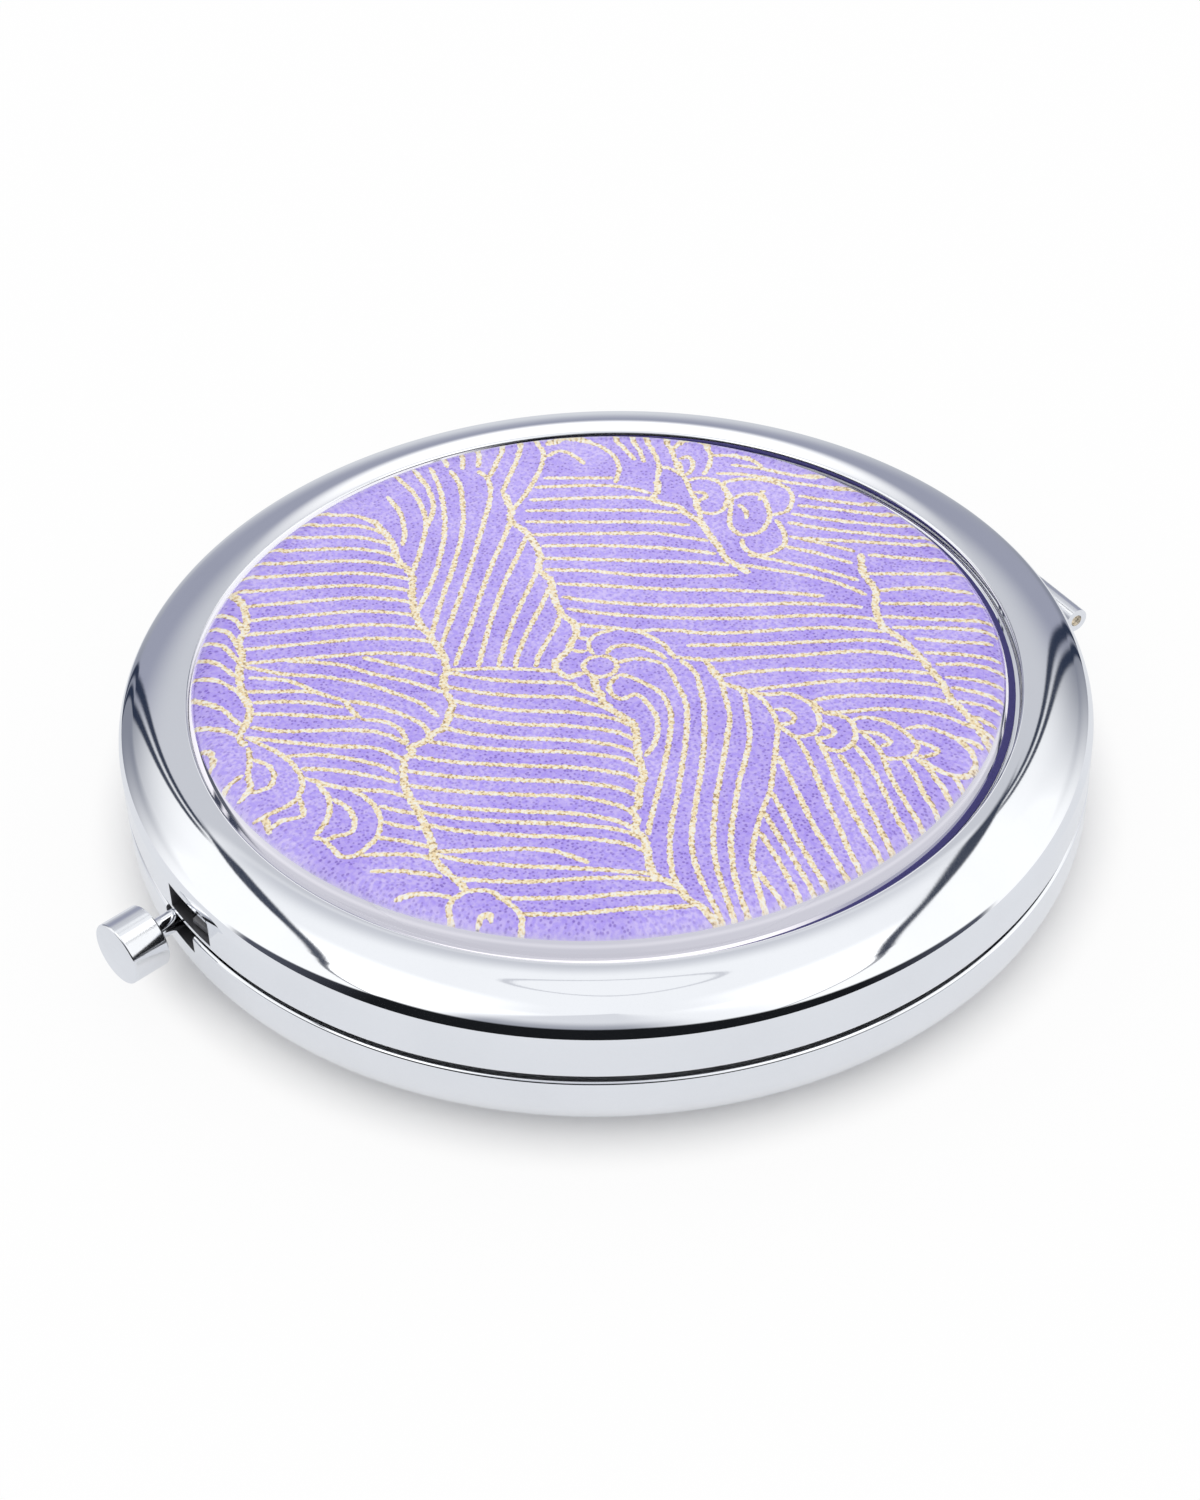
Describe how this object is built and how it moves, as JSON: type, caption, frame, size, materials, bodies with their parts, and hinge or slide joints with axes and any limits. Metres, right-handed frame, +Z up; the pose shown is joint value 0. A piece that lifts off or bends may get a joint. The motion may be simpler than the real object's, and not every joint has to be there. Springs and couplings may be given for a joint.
{
  "type": "compact mirror",
  "caption": "Round hinged compact mirror with a chrome case, a printed paper under a clear dome on the lid, and a push button latch.",
  "frame": {"origin": "centre of the flat underside of the base", "axes": "+Z up through the lid, -Y towards the side with the push button, +Y towards the hinge, +X along the hinge pin"},
  "size_m": [0.07, 0.0774, 0.0121],
  "materials": {
    "chrome_case": "polished chrome plate on pressed sheet steel",
    "chrome_fittings": "polished chrome plate on turned and bent steel",
    "spring_steel": "plain cold rolled spring strip",
    "brass_pin": "drawn brass wire, cut ends",
    "mirror_glass": "back silvered glass",
    "ring_plastic": "silver coated moulded plastic",
    "foam": "white adhesive foam",
    "adhesive_film": "clear adhesive film",
    "purple_paper": "violet fibrous paper with gold printed wave lines",
    "clear_resin": "clear cast resin, glossy"
  },
  "bodies": {
    "base": {"base_shell": "chrome_case", "base_mirror_pad": "foam", "base_mirror": "mirror_glass", "base_mirror_ring": "ring_plastic", "base_hinge_leaf_left": "chrome_fittings", "base_hinge_leaf_right": "chrome_fittings", "hinge_pin": "brass_pin", "latch_spring": "spring_steel"},
    "lid": {"lid_shell": "chrome_case", "lid_mirror_pad": "foam", "lid_mirror": "mirror_glass", "lid_mirror_ring": "ring_plastic", "paper_adhesive": "adhesive_film", "printed_paper": "purple_paper", "clear_dome": "clear_resin", "lid_hinge_leaf": "chrome_fittings"},
    "button": {"button_cap": "chrome_fittings", "button_stem": "chrome_fittings", "latch_hook": "spring_steel", "latch_washer": "spring_steel"}
  },
  "joints": [
    {"name": "lid_hinge", "type": "hinge", "parent": "base", "child": "lid", "pos_m": [0, 0.03625, 0.0052], "axis": [-1, 0, 0], "range_deg": [0, 160]},
    {"name": "button_press", "type": "slide", "parent": "base", "child": "button", "axis": [-0.1736, 0.9848, 0], "range_m": [0, 0.001], "stiffness_N_per_m": 1800, "deforming": ["latch_spring"]}
  ]
}
